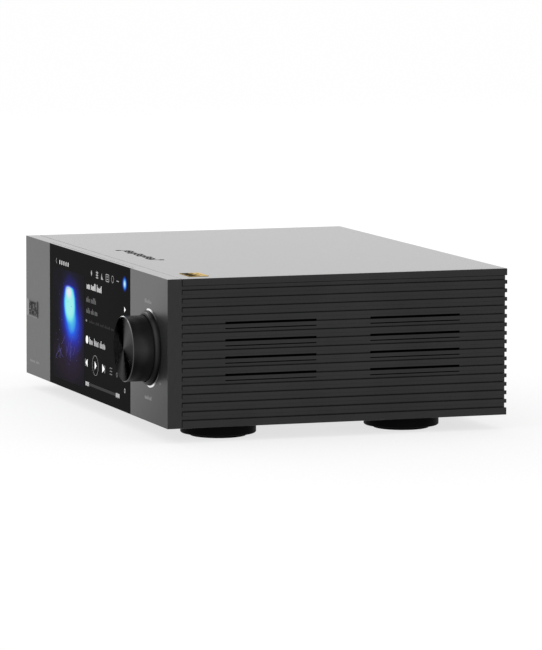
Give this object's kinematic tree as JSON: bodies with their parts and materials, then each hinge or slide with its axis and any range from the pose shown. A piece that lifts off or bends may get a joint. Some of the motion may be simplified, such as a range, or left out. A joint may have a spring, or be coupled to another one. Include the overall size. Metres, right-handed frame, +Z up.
{
  "type": "desktop dac",
  "caption": "Low black aluminium desktop audio converter with a full-height touch display, push-and-turn volume knob, finned sides, round feet and rear sockets.",
  "frame": {"origin": "on the surface it stands on, under the centre of its bounding box", "axes": "+X to the right as seen from the front, +Y from the front panel to the rear sockets, +Z up"},
  "size_m": [0.264, 0.219, 0.0882],
  "materials": {
    "case_anodised": "black anodised, fine bead-blasted satin",
    "knob_anodised": "black anodised, lathe-turned, polished chamfer",
    "display_glass": "clear cover glass with a black printed border",
    "screen": null,
    "plain_steel": "zinc-plated steel",
    "black_steel": "black powder-coated steel",
    "nickel_plate": "nickel-plated",
    "gold_plate": "gold-plated brass",
    "black_plastic": "moulded, lightly grained",
    "foot_rubber": "matt black rubber",
    "circuit_board": "green solder mask",
    "core_wrap": "taped copper winding over a ring core",
    "label_foil": "gold foil label with a plain dark block",
    "flex_film": "amber polyimide film"
  },
  "bodies": {
    "chassis": {"analogue_shield": "nickel_plate", "balanced_output_left": "black_steel", "balanced_output_right": "black_steel", "bottom_plate": "black_steel", "capacitor_1": "black_plastic", "capacitor_2": "black_plastic", "coaxial_input": "gold_plate", "display_flex": "flex_film", "display_glass": "display_glass", "emblem_plate": "knob_anodised", "encoder_housing": "plain_steel", "encoder_nut": "nickel_plate", "faceplate": "case_anodised", "foot_front_left": "black_plastic", "foot_front_right": "black_plastic", "foot_pad_front_left": "foot_rubber", "foot_pad_front_right": "foot_rubber", "foot_pad_rear_left": "foot_rubber", "foot_pad_rear_right": "foot_rubber", "foot_rear_left": "black_plastic", "foot_rear_right": "black_plastic", "foot_screw_front_left": "plain_steel", "foot_screw_front_right": "plain_steel", "foot_screw_rear_left": "plain_steel", "foot_screw_rear_right": "plain_steel", "gold_label": "label_foil", "heat_sink": "case_anodised", "knob_board": "circuit_board", "knob_ring": "knob_anodised", "lcd_panel": "screen", "lcd_tray": "plain_steel", "main_board": "circuit_board", "mains_inlet": "black_plastic", "network_port": "nickel_plate", "optical_input": "black_plastic", "phono_output_left": "gold_plate", "phono_output_right": "gold_plate", "power_board": "circuit_board", "rear_panel": "black_steel", "rear_screw_high_left": "plain_steel", "rear_screw_high_right": "plain_steel", "rear_screw_low_left": "plain_steel", "rear_screw_low_right": "plain_steel", "side_panel_left": "case_anodised", "side_panel_right": "case_anodised", "switch_frame": "black_plastic", "top_cover": "case_anodised", "transformer": "core_wrap", "transformer_bolt": "plain_steel", "transformer_clamp": "plain_steel", "usb_host": "nickel_plate", "usb_input": "nickel_plate"},
    "encoder_push": {"push_plate": "black_plastic"},
    "knob": {"knob_cap": "knob_anodised", "knob_insert": "black_plastic", "encoder_shaft": "plain_steel"},
    "rocker": {"power_rocker": "black_plastic"},
    "flap": {"optical_flap": "black_plastic"}
  },
  "joints": [
    {"name": "knob_push", "type": "slide", "parent": "chassis", "child": "encoder_push", "axis": [0, 1, 0], "range_m": [0, 0.0006], "stiffness_N_per_m": 4000, "springref_m": -0.0005},
    {"name": "knob_turn", "type": "hinge", "parent": "encoder_push", "child": "knob", "pos_m": [0.1, -0.1, 0.048], "axis": [0, 1, 0], "continuous": true},
    {"name": "power_switch", "type": "hinge", "parent": "chassis", "child": "rocker", "pos_m": [-0.093, 0.096, 0.066], "axis": [1, 0, 0], "range_deg": [0, 24]},
    {"name": "optical_shutter", "type": "hinge", "parent": "chassis", "child": "flap", "pos_m": [0.022, 0.0984, 0.0291], "axis": [-1, 0, 0], "range_deg": [0, 80], "stiffness_Nm_per_rad": 0.0002, "springref_deg": -17.19}
  ]
}
